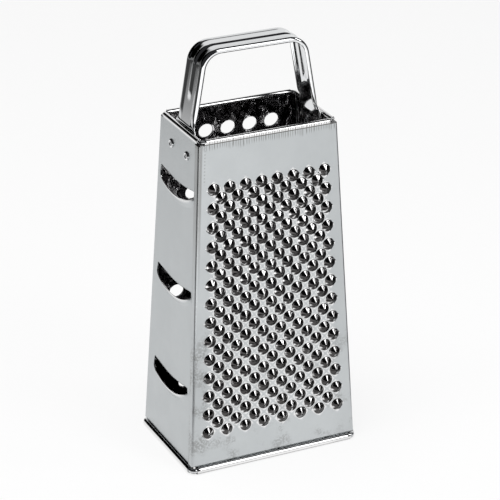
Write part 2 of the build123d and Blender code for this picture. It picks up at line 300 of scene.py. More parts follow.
class Field:
    """A staggered field of teeth that widens downwards, in a panel's own s and z."""

    def __init__(self, columns, rows, top, bottom, top_half, bottom_half, margin):
        self.columns, self.rows, self.margin = columns, rows, margin
        self.top, self.bottom = top, bottom
        self.top_half, self.bottom_half = top_half, bottom_half
        self.pitch = (top - bottom) / (rows - 1)
        self.levels = top - self.pitch * np.arange(-1, rows + 1)

    def half(self, z):
        """Half the width over the outermost teeth's centres, growing evenly downwards."""
        growth = (self.bottom_half - self.top_half) / (self.top - self.bottom)
        return self.top_half + growth * (self.top - z)

    def column(self, j, z):
        """The s of half-column j at height z: evenly spread, with a margin beyond both ends."""
        last = 2 * (self.columns - 1)
        inside = (np.clip(j, 0, last) / last * 2 - 1) * self.half(z)
        return inside + np.where(j < 0, -self.margin, 0) + np.where(j > last, self.margin, 0)

    def corners(self, i, j):
        """The diamond's four corners round spot (i, j): right, up, left, down."""
        columns = j[:, None] + np.array([1, 0, -1, 0])
        z = self.top - self.pitch * (i[:, None] + np.array([0, -1, 0, 1]))
        return np.stack([self.column(columns, z), z], axis=-1)

    def centres(self, i, j):
        """The middle of spot (i, j), as s and z."""
        z = self.top - self.pitch * i
        return np.stack([self.column(j, z), z], axis=-1)

    def spots(self, toothed):
        """Row and half-column numbers of the spots with a tooth, or of the blank ones at the edge."""
        i, j = np.meshgrid(np.arange(-1, self.rows + 1), np.arange(-1, 2 * self.columns), indexing="ij")
        i, j = i.ravel(), j.ravel()
        inside = (i >= 0) & (i < self.rows) & (j >= 0) & (j <= 2 * (self.columns - 1))
        keep = ((i + j) % 2 == 0) & (inside == toothed)
        return i[keep], j[keep]


print("one tooth cell has", SECTORS, "sectors")

# %% [markdown]
# Cells of the field
#
# A cell's outline is its diamond, with every side cut into four. A blank spot at the field's edge is
# filled with a flat fan, of which only the quarters inside the field are kept. A tooth's cell is a
# stack of rings, and quads join each ring to the next.

# %% Blank cells and tooth cells
def diamond_edge(corners):
    """Sixteen points round each diamond, starting on the right: each side's corner plus a share of
    the way to the next corner."""
    share = np.arange(SECTORS // 4) / (SECTORS // 4)
    following = np.roll(corners, -1, axis=1)
    points = corners[:, :, None] + (following - corners)[:, :, None] * share[None, None, :, None]
    return points.reshape(len(corners), SECTORS, 2)


def blank_cells(side, field):
    """Flat fans that fill the notched edge of the field, kept only where they lie inside it."""
    i, j = field.spots(False)
    centre = field.centres(i, j)
    edge = ring(diamond_edge(field.corners(i, j)), 1)
    fans = np.stack([np.repeat(centre[:, None], SECTORS, 1), edge[:, :-1], edge[:, 1:]], axis=2)
    keep = np.ones((len(i), 4), bool)
    keep[j == 2 * field.columns - 1] &= np.array([False, True, True, False])
    keep[j == -1] &= np.array([True, False, False, True])
    keep[i == -1] &= np.array([False, False, True, True])
    keep[i == field.rows] &= np.array([True, True, False, False])
    fans = fans[np.repeat(keep, SECTORS // 4, axis=1)]
    return side.place(fans[..., 0], side.reach(fans[..., 1]) - sheet / 2, fans[..., 1])


def tooth_cells(side, field, rings, polish):
    """All tooth cells: each ring point is its tooth's centre plus an offset, lifted off the flat.

    rings holds the offsets ds and dz and the height, in the shape (teeth, rings, sectors, 3).
    polish has a value for the diamond's edge and then for each ring."""
    i, j = field.spots(True)
    centre, edge = field.centres(i, j), diamond_edge(field.corners(i, j))
    spots = np.concatenate([edge[:, None], centre[:, None, None] + rings[..., :2]], axis=1)
    s, level = spots[..., 0], spots[..., 1]
    height = np.concatenate([np.zeros_like(s[:, :1]), rings[..., 2]], axis=1)
    points = side.place(s, side.reach(level) - sheet / 2 + height, level)
    values = np.broadcast_to(np.asarray(polish)[..., None], points.shape[:-1] + (1,))
    points = ring(np.concatenate([points, values], axis=-1), 2)
    cells = np.stack([points[:, :-1, :-1], points[:, :-1, 1:], points[:, 1:, 1:], points[:, 1:, :-1]],
                     axis=3).reshape(-1, 4, 4)
    return cells[..., :3], cells[..., 3]


# %% [markdown]
# A whole toothed panel
#
# The panel's grid is cut into bands round the field, the cells fill the field, and the folds and
# curls follow. Polish is 0 on the flat, 1 on the curls, and whatever the teeth bring with them. A
# Solidify modifier then makes sheet of the surface, half of its thickness on each side.

# %% A whole toothed panel
def toothed_panel(name, side, field, rings, polish, left_edge, right_edge):
    """The panel's grid with its block of teeth put in, thickened to a sheet."""
    numbers = np.arange(-1, 2 * field.columns)
    run_base = side.run(base_wire_level) - base_curl_relief
    run_top = side.run(top_wire_level) - top_curl_relief

    def columns(z):
        """The s positions across the flat: curl end, field columns, curl end."""
        share = (z - base_curl_level) / (top_curl_level - base_curl_level)
        end = run_base + (run_top - run_base) * share
        return np.concatenate([[-end], field.column(numbers, z), [end]])

    levels = np.concatenate([[base_curl_level, base_curl_level + shoulder], field.levels[::-1],
                             [top_curl_level - shoulder, top_curl_level]])
    parts = panel_grid(side, levels, columns, left_edge, right_edge)
    flat = parts["flat"]
    low, high = 2, 2 + len(field.levels)
    bands = [flat[:low + 1], flat[high - 1:], flat[low:high, :2], flat[low:high, -2:]]
    groups = [quads(band) for band in bands]
    groups += [quads(parts[part]) for part in ("left", "right")]
    groups.append(blank_cells(side, field))
    values = [shine(group, 0.0) for group in groups]
    curls = [quads(parts[part]) for part in ("base", "top")]
    teeth, tooth_polish = tooth_cells(side, field, rings, polish)
    groups += curls + [teeth]
    values += [shine(group, 1.0) for group in curls] + [tooth_polish]
    panel = wall(make_object(name, groups, values), sheet, 0)
    print(name, "teeth:", len(rings), "polygons:", len(panel.data.polygons))
    return panel


# %% [markdown]
# Rasp teeth
#
# Each rasp tooth is pushed through from behind by a pointed punch. The sheet rises in a smooth
# cone, and at the tip it tears open in three small petals. No two tears are alike, so every tooth
# gets its own seeded lean, height and tear, all drawn as arrays in one go.

# %% Shapes of the rasp teeth
PETALS = 3
rasp_field = Field(columns=8, rows=27, top=166.5 * MM, bottom=23.7 * MM,
                   top_half=33.03 * MM, bottom_half=40.08 * MM, margin=4.6 * MM)
rasp_count = len(rasp_field.spots(True)[0])
rasp_profile = np.array([[3.5, 0], [3.42, 0.09], [3.26, 0.29], [3.13, 0.37], [2.87, 0.43], [2.7, 0.50],
                         [1.7, 1.24], [0.75, 1.94], [0.46, 2.10]]) * MM


def rasp_rings(count, seed=4):
    """Rings (radius, height): a step, a narrow shelf, the cone's flank and a torn lip of petals.

    The petals are a cosine of three turns, added to the lip's radius and taken off its height. The
    lean moves each ring by its share of the way from the foot to the tip."""
    draw = np.random.default_rng(seed)
    angles = np.arange(SECTORS) * 2 * np.pi / SECTORS
    radii, heights = rasp_profile.T
    share = (radii[0] - radii) / (radii[0] - radii[-2])
    radius = np.broadcast_to(radii[None, :, None], (count, len(radii), SECTORS)).copy()
    height = np.broadcast_to(heights[None, :, None], radius.shape).copy()
    phase = draw.uniform(-0.5, 0.5, (count, 1)) + np.pi / 2
    petal = np.cos(PETALS * (angles[None] - phase))
    depth = draw.uniform(0.10, 0.34, (count, 1))
    height[:, -2] *= 1 + 0.05 * petal
    radius[:, -1] *= 1 + depth * petal + draw.uniform(-0.12, 0.12, (count, SECTORS))
    height[:, -1] += (draw.uniform(-0.16, 0.2, (count, SECTORS)) - 0.12 * petal) * MM
    height *= draw.uniform(0.93, 1.05, (count, 1, 1))
    lean = draw.normal(0, 0.17 * MM, (count, 2, 1, 1)) * share[None, None, :, None]
    ds = radius * np.cos(angles) + lean[:, 0]
    dz = radius * np.sin(angles) + lean[:, 1]
    return np.stack([ds, dz, height], axis=-1)


print("rasp teeth:", rasp_count, "of height, mm:", rasp_profile[-1, 1] / MM)

# %% [markdown]
# Painted shade and highlights on the teeth
#
# The cones' tone is painted dark all over, which stands for their shade and dark reflections, and
# bright in a few sectors, which are painted highlights where the lamps catch them: along the crest,
# round the foot on the left, and in a few odd streaks. The panel's polish attribute carries this too.
# It goes on past rubbed bright, which is 1, to fully dark, which is 2. Sector 0 points right, 4 up,
# 8 left and 12 down, and ring 0 is the cell's own edge.

# %% Rasp panel
def rasp_painted_shade_and_highlights(count, seed=9):
    """Polish per tooth, ring and sector: painted dark all over as shade, then painted highlights in seeded
    sectors.
    """
    draw = np.random.default_rng(seed)
    sector = np.arange(SECTORS)[None, None]
    ring_number = np.arange(len(rasp_profile) + 1)[None, :, None]
    polish = np.full((count, len(rasp_profile) + 1, SECTORS), 2.0)

    def paint_highlight(first_ring, last_ring, sectors, value, share):
        """Paint a highlight into one seeded sector of some rings, on a share of the teeth."""
        chosen = draw.choice(sectors, (count, 1, 1))
        taken = draw.random((count, 1, 1)) < share
        here = (sector == chosen) & (ring_number >= first_ring) & (ring_number <= last_ring) & taken
        polish[here] = value

    # Painted highlights on the crest, upper right, left foot, below the tip, lower right foot and left
    # shelf.
    paint_highlight(4, 8, [4], 1.0, 1.0)                 # the crest line, on every tooth
    paint_highlight(5, 8, [2, 2, 3, 1], 1.15, 0.7)       # a streak on the upper right
    paint_highlight(3, 6, [8, 9, 9, 10], 1.0, 0.85)      # the foot on the left
    paint_highlight(6, 8, [11, 12, 13, 14], 1.1, 0.6)    # below the tip
    paint_highlight(2, 5, [13, 14, 15, 12], 1.2, 0.5)    # the foot on the lower right
    polish[:, 2:4, 8:12] = 1.25
    polish[:, 1], polish[:, 0] = 0.9, 0.0
    return polish


rasp_panel = toothed_panel("rasp_sheet", front, rasp_field, rasp_rings(rasp_count),
                           rasp_painted_shade_and_highlights(rasp_count), lap, lap)

# %% [markdown]
# Collared holes
#
# The coarse and the fine side are cut with round punches that leave a collar. The collar is highest
# below the hole, where its edge meets food that is pushed down the panel, and nearly flush above.
# The height round the hole is a cosine, which is what a plane cut aslant through a tube gives.

# %% Shape of a collar
def collar_rings(count, foot, lip, hole, crest, low, seed):
    """Rings of a collar whose height swings as a cosine, from low above the hole to crest below."""
    draw = np.random.default_rng(seed)
    angles = np.arange(SECTORS) * 2 * np.pi / SECTORS
    swing = low + (crest - low) * (1 - np.sin(angles)) / 2
    radii = np.array([foot, foot * 0.25 + lip * 0.75, lip, hole])
    shares = np.array([0.0, 0.45, 0.93, 1.0])
    height = shares[None, :, None] * swing[None, None, :] * draw.uniform(0.95, 1.05, (count, 1, 1))
    ds = radii[None, :, None] * np.cos(angles) + np.zeros((count, 1, 1))
    dz = radii[None, :, None] * np.sin(angles) + np.zeros((count, 1, 1))
    return np.stack(np.broadcast_arrays(ds, dz, height), axis=-1)


COLLAR_POLISH = np.array([[0.0], [0.0], [1.0], [1.0], [1.0]])
print("polish from a collar's cell edge to its hole:", COLLAR_POLISH.ravel())

# %% [markdown]
# Two panels of holes
#
# The coarse side has 8 mm holes in rows of five and four, the fine side 3.5 mm holes in rows of six
# and five. A panel's edges say how it meets its neighbours: the coarse side's are covered on both
# sides, and the fine side's front edge is covered while its rear edge laps over.

# %% Coarse and fine panels
coarse_field = Field(columns=5, rows=14, top=178.0 * MM, bottom=22.0 * MM,
                     top_half=26.8 * MM, bottom_half=33.0 * MM, margin=6.4 * MM)
coarse_rings = collar_rings(len(coarse_field.spots(True)[0]), foot=5.1 * MM, lip=4.45 * MM,
                            hole=4.2 * MM, crest=1.7 * MM, low=0.25 * MM, seed=5)
coarse_panel = toothed_panel("coarse_sheet", back, coarse_field, coarse_rings,
                             COLLAR_POLISH, hidden_flange, hidden_flange)

fine_field = Field(columns=6, rows=27, top=163.0 * MM, bottom=22.0 * MM,
                   top_half=18.2 * MM, bottom_half=22.6 * MM, margin=3.3 * MM)
fine_rings = collar_rings(len(fine_field.spots(True)[0]), foot=2.35 * MM, lip=1.95 * MM,
                          hole=1.75 * MM, crest=1.0 * MM, low=0.15 * MM, seed=6)
fine_panel = toothed_panel("fine_sheet", right, fine_field, fine_rings,
                           COLLAR_POLISH, hidden_flange, lap)

# %% [markdown]
# The slicer's slots
#
# A slicing slot is a smile: its two edges are shallow arcs that run into each other in rounded
# ends. A superellipse closes the ends, and both arcs are bent by the same kind of parabola.

# %% Slot outlines
slot_levels = np.array([39.4, 97.3, 155.7]) * MM
slot_half, slot_height = 23.0 * MM, 7.1 * MM
upper_sag, lower_sag = 2.8 * MM, 5.2 * MM
ROUNDNESS = 6.0


def slot_edges(s, level):
    """Lower and upper edge heights: a sagging middle line plus or minus a superellipse."""
    x = np.clip(np.abs(s) / slot_half, 0, 1)
    open_share = (1 - x ** ROUNDNESS) ** (1 / ROUNDNESS)
    middle = level + slot_height / 2 + (upper_sag + lower_sag) / 2 * x ** 2
    half_open = (slot_height / 2 + (upper_sag - lower_sag) / 2 * x ** 2) * open_share
    return middle - half_open, middle + half_open


print("slots are, mm:", 2 * slot_half / MM, "wide and", slot_height / MM, "high in the middle")

# %% [markdown]
# Columns of the slicer
#
# The columns are packed towards the slots' ends, where the outline turns fastest. The top curl is
# shorter than the slots are wide, so above the highest slot the columns draw in to its length.

# %% Slicer columns
column_side, top_squeeze = 24.4 * MM, 0.915
turning_levels = np.array([base_curl_level, 165.0 * MM, top_curl_level])
packed = slot_half * np.sin(np.pi / 2 * np.linspace(-1, 1, 49))
inner_columns = np.unique(np.round(
    np.concatenate([packed, [-slot_half - shoulder, slot_half + shoulder]]), 8))


def squeeze(z):
    """The share to which the inner columns draw in at height z: all of it up to the top slot."""
    return np.interp(z, turning_levels, [1, 1, top_squeeze])


def slot_ends(z):
    """Where the flat's last columns run: outside the slots, then in to the curl's end at the top."""
    return np.interp(z, turning_levels, [left.run(base_wire_level) - base_curl_relief, column_side,
                                         left.run(top_wire_level) - top_curl_relief])


def slicer_columns(z):
    """The s positions across the flat at height z, drawn in above the highest slot."""
    return np.concatenate([[-slot_ends(z)], inner_columns * squeeze(z), [slot_ends(z)]])


print("slicer columns:", len(inner_columns) + 2)

# %% [markdown]
# Rows of the slicer
#
# The rows follow the slots' edges, so a slot is the band of cells between its two edge rows, left
# out. The strip under a slot is lifted into a blade, highest in the middle and blended out at its
# ends, and ground bright at its edge. Each blade row has its place on the ramp, from 1 at the foot to
# 0 at the edge, its share of the blade's height, and its polish.

# %% Slicer rows
blade_ramp, blade_proud = 5.0 * MM, 2.3 * MM
blade_rows = ((1.0, 0.0, 0.0), (0.88, 0.06, 0.0), (0.6, 0.36, 0.1), (0.3, 0.72, 0.3), (0.0, 1.0, 0.8))
slot_lip_polish = 0.3


def slicer_rows():
    """Arrays of z, lift off the flat and polish, one line a row, and the numbers of the slots' bands.

    The blade's lift and the ramp's length fade towards the slot's ends as one minus the eighth power
    of the distance from the middle."""
    taper = np.clip(1 - (np.abs(inner_columns) / slot_half) ** 8, 0, 1)
    taper = np.concatenate([[0], taper, [0]])
    rows, gaps = [], []

    def add_row(z, lift=0.0, bright=0.0):
        """One more row across the panel."""
        rows.append(np.stack(np.broadcast_arrays(z, lift, bright * taper)))

    add_row(base_curl_level)
    add_row(base_curl_level + shoulder)
    for level in slot_levels:
        low, high = slot_edges(slicer_columns(level), level)
        ramp = blade_ramp * (0.35 + 0.65 * taper)
        for place, rise, bright in blade_rows:
            add_row(low - ramp * place, blade_proud * rise * taper, bright)
        gaps.append(len(rows) - 1)
        add_row(high, 0.0, slot_lip_polish)
        add_row(high + shoulder)
    add_row(top_curl_level - shoulder)
    add_row(top_curl_level)
    return *np.stack(rows, axis=1), gaps


print("slicer rows:", len(slicer_rows()[0]))

# %% [markdown]
# The slicer panel
#
# This side can't use the plain grid for its folds, because their rows have to meet rows that wander
# with the slots. So the strips take the heights of the flat's outermost points.

# %% Slicer panel
def side_strips(z):
    """The two folded edges, whose rows meet the flat's rows at their own heights."""
    strips = []
    for level, sign, (edge, profile) in ((z[:, -1:], 1, hidden_flange), (z[:, :1], -1, lap)):
        corner = left.run(level) + edge
        before = sign * (corner + profile[0, 0]) - sign * shoulder
        s = np.hstack([sign * slot_ends(level), before, sign * (corner + profile[:, 0])])
        reach = left.reach(level)
        u = np.hstack([reach - sheet / 2, reach - sheet / 2, reach + profile[:, 1]])
        grid = left.place(s, u, level)
        strips.append(quads(grid if sign > 0 else grid[:, ::-1]))
    return strips


def slicer_sheet():
    """The flat's rows without the slots' bands, the two folded edges and the two curls."""
    z, lift, polish, gaps = slicer_rows()
    s = np.concatenate([-slot_ends(z[:, :1]), inner_columns * squeeze(z[:, 1:-1]),
                        slot_ends(z[:, -1:])], axis=1)
    flat = left.place(s, left.reach(z) - sheet / 2 + lift, z)
    cells = quads(np.concatenate([flat, polish[..., None]], axis=-1)).reshape(len(z) - 1, -1, 4, 4)
    cells = np.delete(cells, gaps, axis=0).reshape(-1, 4, 4)
    sides = side_strips(z)
    parts = panel_grid(left, [base_curl_level, top_curl_level], slicer_columns, lap, hidden_flange)
    curls = [quads(parts["base"]), quads(parts["top"])]
    values = [cells[..., 3], *[shine(group, 0.0) for group in sides],
              *[shine(group, 1.0) for group in curls]]
    return wall(make_object("slicer_sheet", [cells[..., :3], *sides, *curls], values), sheet, 0)


slicer_panel = slicer_sheet()
print("slicer polygons:", len(slicer_panel.data.polygons))

# %% [markdown]
# The rim wires
#
# Each rim is curled round one bent wire, which shows only at the corners, where the sheet is cut
# back. The wire is a circle carried round a rectangle with round corners.

# %% Wires
base_wire_corner, top_wire_corner = 2.2 * MM, 2.4 * MM


def rounded_path(half_x, half_y, radius, steps=10):
    """Points round a rectangle with quarter-circle corners, and their outward directions."""
    angles = np.radians(np.concatenate([np.linspace(q, q + 90, steps) for q in (0, 90, 180, 270)]))
    signs = np.repeat([[1, 1], [-1, 1], [-1, -1], [1, -1]], steps, axis=0)
    outward = np.column_stack([np.cos(angles), np.sin(angles)])
    centre = signs * np.array([half_x - radius, half_y - radius])
    return centre + outward * radius, outward


def rim_wire(name, level, inset, wire_radius, corner_radius, sides=18):
    """A circle carried round the rounded rectangle: the path plus outward and upward parts."""
    path, outward = rounded_path(half_width(level) - inset, half_depth(level) - inset, corner_radius)
    angles = np.linspace(0, 2 * np.pi, sides, endpoint=False)
    flat = path[:, None] + outward[:, None] * (wire_radius * np.cos(angles))[None, :, None]
    z = np.broadcast_to(level + wire_radius * np.sin(angles), flat.shape[:2])
    points = np.concatenate([flat, z[..., None]], axis=-1)
    points = ring(ring(points, 0), 1)
    return make_object(name, [quads(points)[:, ::-1]])


base_wire = rim_wire("base_wire", base_wire_level, 0, base_wire_radius, base_wire_corner)
top_wire = rim_wire("top_wire", top_wire_level, top_wire_inset, top_wire_radius, top_wire_corner)
print("wire faces:", len(base_wire.data.polygons), "and", len(top_wire.data.polygons))

# %% [markdown]
# The handle
#
# The handle is one strap of thicker sheet. Seen from the front it rises from a foot inside the
# narrow panel, steps inward past the rim, leans, bends over, and comes down the same way. Across
# its width it is pressed: a bead down the middle, the long edges raised and then turned in. The
# surface is the path plus the cross-section, and the cross-section fades to flat at the feet.

# %% Handle path
strap, strap_half, strap_turn = 0.8 * MM, 9.9 * MM, 1.3 * MM
bead_half, bead_proud = 2.4 * MM, 0.8 * MM
handle_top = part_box("handle")[1].z
foot_level, foot_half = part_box("handle")[0].z, 13.5 * MM
foot_bend_level, foot_bend_height, foot_bend_radius = 186.0 * MM, 5.0 * MM, 4.0 * MM
strap_bend_radius, path_step = 11.5 * MM, 1.5 * MM
rim_level, rim_reach, leg_lean = 196.0 * MM, 37.3 * MM, 5.5 / 32.0


def leg_reach(level):
    """Half the handle's span over its legs: its reach at the rim, less the lean times the rise."""
    return rim_reach - (level - rim_level) * leg_lean


def rounded_line(points, radii, steps=14):
    """A polyline with its corners rounded: straight runs and arcs, as points and left-hand normals.

    Each corner's arc has its centre one radius to the inner side, and turns by the corner's angle."""
    points = np.asarray(points, float)
    path, normals = [], []
    for before, corner, after, radius in zip(points, points[1:], points[2:], radii):
        a, b = corner - before, after - corner
        a, b = a / np.hypot(*a), b / np.hypot(*b)
        turn = np.arctan2(a[0] * b[1] - a[1] * b[0], a @ b)
        start = corner - a * radius * np.tan(abs(turn) / 2)
        hand = np.sign(turn)
        centre = start + hand * radius * np.array([-a[1], a[0]])
        swing = np.linspace(0, turn, steps)
        normal = hand * np.array([-a[1], a[0]])
        spun = np.column_stack([normal[0] * np.cos(swing) - normal[1] * np.sin(swing),
                                normal[0] * np.sin(swing) + normal[1] * np.cos(swing)])
        path.append(centre - radius * spun)
        normals.append(hand * spun)
    ends = [points[1] - points[0], points[-1] - points[-2]]
    tips = [np.array([-e[1], e[0]]) / np.hypot(*e) for e in ends]
    return (np.vstack([points[:1], *path, points[-1:]]),
            np.vstack([tips[:1], *normals, tips[1:]]))


def fill_in(path, normals, step):
    """More points on the long runs, so that no gap along the path is over a step."""
    gaps = np.hypot(*np.diff(path, axis=0).T)
    counts = np.maximum(1, np.ceil(gaps / step).astype(int))
    share = np.concatenate([np.arange(n) / n for n in counts])[:, None]
    index = np.repeat(np.arange(len(counts)), counts)

    def between(values):
        """Values at the new points, mixed from those at the two ends of their run."""
        return np.vstack([values[index] + (values[index + 1] - values[index]) * share, values[-1:]])

    return between(path), between(normals)


def handle_path():
    """The strap's outer face seen from the front: points (x, z) and normals, right foot to left."""
    bend_end = foot_bend_level + foot_bend_height
    outer_top = handle_top - bead_proud
    inside = -sheet - seam_gap
    right_half = [(half_width(foot_level) + inside, foot_level),
                  (half_width(foot_bend_level) + inside, foot_bend_level),
                  (leg_reach(bend_end), bend_end), (leg_reach(outer_top), outer_top)]
    outline = right_half + [(-x, z) for x, z in reversed(right_half)]
    radii = [foot_bend_radius, foot_bend_radius, strap_bend_radius]
    return fill_in(*rounded_line(outline, radii + radii[::-1]), path_step)


print("handle path points:", len(handle_path()[0]))

# %% [markdown]
# The strap's section
#
# Half of the section is worked out from the middle outwards and then mirrored. The bead is a power
# of a cosine, the raised edge a smooth step, and the long edge turns in through a quarter circle.

# %% Handle section
flat_start, flat_end = 3.0 * MM, 8.2 * MM
edge_start, edge_width, edge_proud = 5.2 * MM, 2.6 * MM, 0.55 * MM


def strap_section(steps=9):
    """Offsets (across, out) of the strap: bead, flat, raised edge, round corner and turned-in rim."""
    across = np.concatenate([np.linspace(0, bead_half, 10), np.linspace(flat_start, flat_end, 12)])
    bead = bead_proud * np.clip(np.cos(np.pi * across / (2 * bead_half)), 0, 1) ** 1.2
    bead[across > bead_half] = 0
    rise = np.clip((across - edge_start) / edge_width, 0, 1)
    out = bead + edge_proud * (0.5 - 0.5 * np.cos(np.pi * rise))
    corner = strap_half - strap / 2 - flat_end
    angles = np.radians(np.linspace(90, 0, steps))[1:]
    turn = np.column_stack([flat_end + corner * np.cos(angles),
                            out[-1] - corner + corner * np.sin(angles)])
    rim = np.array([[turn[-1, 0], -strap / 2 - strap_turn]])
    half = np.vstack([np.column_stack([across, out]), turn, rim])
    return np.vstack([half[:0:-1] * [-1, 1], half])


print("section points:", len(strap_section()))

# %% [markdown]
# Path times section
#
# The feet are flat and wide, so the section fades into a plain flat strip there: between the first
# two levels below the strap takes up its own width, between the next two its edges rise, and between
# the last two the bead does. The feet's lower corners are drawn in a little.

# %% Handle surface
width_levels, edge_levels = (192.5 * MM, 198.5 * MM), (195.0 * MM, 202.0 * MM)
bead_levels = (209.5 * MM, 213.5 * MM)
foot_taper_height, foot_taper = 4.0 * MM, 0.18


def smooth(value, start, end):
    """0 before start, 1 after end, and between them 3 t squared less 2 t cubed."""
    t = np.clip((value - start) / (end - start), 0, 1)
    return t * t * (3 - 2 * t)


def handle_surface():
    """Path times section: each path point carries the section along its outward normal and along y."""
    path, normals = handle_path()
    section = strap_section()
    across, out = section[:, 0], section[:, 1]
    level = path[:, 1:]
    strap_share = smooth(level, *width_levels)
    lift = out * np.where(np.abs(across) < bead_half, smooth(level, *bead_levels),
                          smooth(level, *edge_levels))
    length = np.concatenate([[0], np.cumsum(np.hypot(*np.diff(section, axis=0).T))])
    drawn_in = foot_taper * smooth(foot_level + foot_taper_height - level, 0, foot_taper_height)
    foot_across = (length / length[-1] * 2 - 1) * foot_half * (1 - drawn_in)
    y = across * strap_share + foot_across * (1 - strap_share)
    x = path[:, :1] - normals[:, :1] * (lift - strap / 2)
    z = path[:, 1:] - normals[:, 1:] * (lift - strap / 2)
    return np.stack([x, y, z], axis=-1)


handle_points = handle_surface()
handle = wall(make_object("handle_strap", [quads(handle_points)]), strap, 0)
print("handle grid:", handle_points.shape)

# %% [markdown]
# Rivets
#
# The four rivets have hollow heads: a ring with a dark middle. Each is a profile turned about its
# own axis, which stands square to the leaning panel.

# %% Rivets
rivet_level, rivet_half_spacing = 181.3 * MM, 10.2 * MM
rivet_profile = np.array([[0.0, -0.75], [0.55, -0.7], [0.9, -0.5], [1.0, -0.1], [1.02, 0.45],
                          [1.15, 0.72], [1.45, 0.88], [1.85, 0.88], [2.25, 0.7], [2.5, 0.4],
                          [2.6, 0.15], [2.55, 0.06], [1.5, 0.05], [1.5, -1.43], [2.2, -1.45],
                          [2.3, -1.6], [2.2, -1.8], [1.4, -1.85], [0.0, -1.85]]) * MM


def rivet(name, side_sign, along, steps=28):
    """The profile (radius, height) turned about an axis square to the leaning panel."""
    lean = np.arctan((base_width - top_width) / 2 / body_height)
    outward = np.array([side_sign * np.cos(lean), 0, np.sin(lean)])
    sideways = np.array([0.0, 1.0, 0.0])
    upward = np.cross(outward, sideways)
    origin = np.array([side_sign * half_width(rivet_level), along, rivet_level])
    angles = np.linspace(0, 2 * np.pi, steps, endpoint=False)
    round_ = np.cos(angles)[:, None] * sideways + np.sin(angles)[:, None] * upward
    points = (origin + rivet_profile[:, None, :1] * round_[None]
              + rivet_profile[:, None, 1:] * outward)
    points = ring(points, 1)
    middle = quads(points[1:-1])
    caps = [np.stack([points[0, :-1], points[1, 1:], points[1, :-1]], axis=1)[:, ::-1],
            np.stack([points[-1, :-1], points[-2, 1:], points[-2, :-1]], axis=1)]
    return make_object(name, [middle, *caps])


rivets = {f"{side_name}_{end_name}": rivet(f"{side_name}_{end_name}_rivet_head", side_sign,
                                           end_sign * rivet_half_spacing)
          for side_name, side_sign in (("left", -1), ("right", 1))
          for end_name, end_sign in (("front", -1), ("back", 1))}
print("rivets:", sorted(rivets))

# %% [markdown]
# Shader expressions
#
# A node graph is a formula, so it is written as one. The small class below wraps a socket, and
# adding, multiplying or comparing wrapped sockets adds the Math nodes.

# %% Socket arithmetic
class Wire:
    """A node socket that can be used in Python expressions."""

    def __init__(self, tree, socket):
        self.tree, self.socket = tree, socket

    def math(self, operation, *others):
        """One Math node of this socket and the others."""
        node = self.tree.nodes.new("ShaderNodeMath")
        node.operation = operation
        for place, value in enumerate((self, *others)):
            if isinstance(value, Wire):
                self.tree.links.new(value.socket, node.inputs[place])
            else:
                node.inputs[place].default_value = value
        return Wire(self.tree, node.outputs[0])

    def __add__(self, other):
        return self.math("ADD", other)

    def __sub__(self, other):
        return self.math("SUBTRACT", other)

    def __rsub__(self, other):
        return self.math("MULTIPLY_ADD", -1.0, other)

    def __mul__(self, other):
        return self.math("MULTIPLY", other)

    def __truediv__(self, other):
        return self.math("DIVIDE", other)

    def __abs__(self):
        return self.math("ABSOLUTE")

    __radd__ = __add__
    __rmul__ = __mul__

    def either(self, other):
        """The larger of two values."""
        return self.math("MAXIMUM", other)

    def above(self, low, high):
        """A smooth step: 0 below low and 1 above high, or the reverse when low is the larger."""
        turned = low > high
        node = self.tree.nodes.new("ShaderNodeMapRange")
        node.interpolation_type = "SMOOTHSTEP"
        self.tree.links.new(self.socket, node.inputs["Value"])
        node.inputs["From Min"].default_value = min(low, high)
        node.inputs["From Max"].default_value = max(low, high)
        node.inputs["To Min"].default_value = 1.0 if turned else 0.0
        node.inputs["To Max"].default_value = 0.0 if turned else 1.0
        return Wire(self.tree, node.outputs["Result"])

    def band(self, centre, half, soft):
        """1 within half of a centre, fading to 0 over soft."""
        return abs(self - centre).above(half + soft, half)


class Graph:
    """A material's node tree with its Principled shader, and one method for any other node."""

    def __init__(self, name, **constants):
        self.material = bpy.data.materials.new(name)
        self.material.use_nodes = True
        self.tree = self.material.node_tree
        self.shader = self.tree.nodes["Principled BSDF"]
        for socket, value in constants.items():
            self.shader.inputs[socket.replace("_", " ")].default_value = value

    def node(self, kind, settings=None, output=0, **inputs):
        """Add a node: its settings first, then the values or links of its sockets."""
        node = self.tree.nodes.new(kind)
        for name, value in (settings or {}).items():
            setattr(node, name, value)
        for name, value in inputs.items():
            socket = node.inputs[name.replace("_", " ")]
            if isinstance(value, Wire):
                self.tree.links.new(value.socket, socket)
            else:
                socket.default_value = value
        return Wire(self.tree, node.outputs[output])

    def place(self):
        """Object coordinates in millimetres, as three wires."""
        where = self.node("ShaderNodeTexCoord", output=3)
        split = self.tree.nodes.new("ShaderNodeSeparateXYZ")
        self.tree.links.new(where.socket, split.inputs[0])
        return [Wire(self.tree, part) * 1000.0 for part in split.outputs]

    def noise(self, scale, detail=3.0, stretch=(1.0, 1.0, 1.0)):
        """Fractal noise in object coordinates, stretched per axis."""
        where = self.node("ShaderNodeTexCoord", output=3)
        mapped = self.node("ShaderNodeMapping", Vector=where, Scale=stretch)
        return self.node("ShaderNodeTexNoise", Vector=mapped, Scale=scale, Detail=detail)

    def mix(self, factor, first, second):
        """A colour between two colours."""
        node = self.tree.nodes.new("ShaderNodeMix")
        node.data_type = "RGBA"
        for place, value in ((0, factor), (6, first), (7, second)):
            if isinstance(value, Wire):
                self.tree.links.new(value.socket, node.inputs[place])
            else:
                node.inputs[place].default_value = value
        return Wire(self.tree, node.outputs[2])

    def feed(self, **outputs):
        """Link results to the shader's sockets."""
        for name, value in outputs.items():
            self.tree.links.new(value.socket, self.shader.inputs[name.replace("_", " ")])
        return self.material
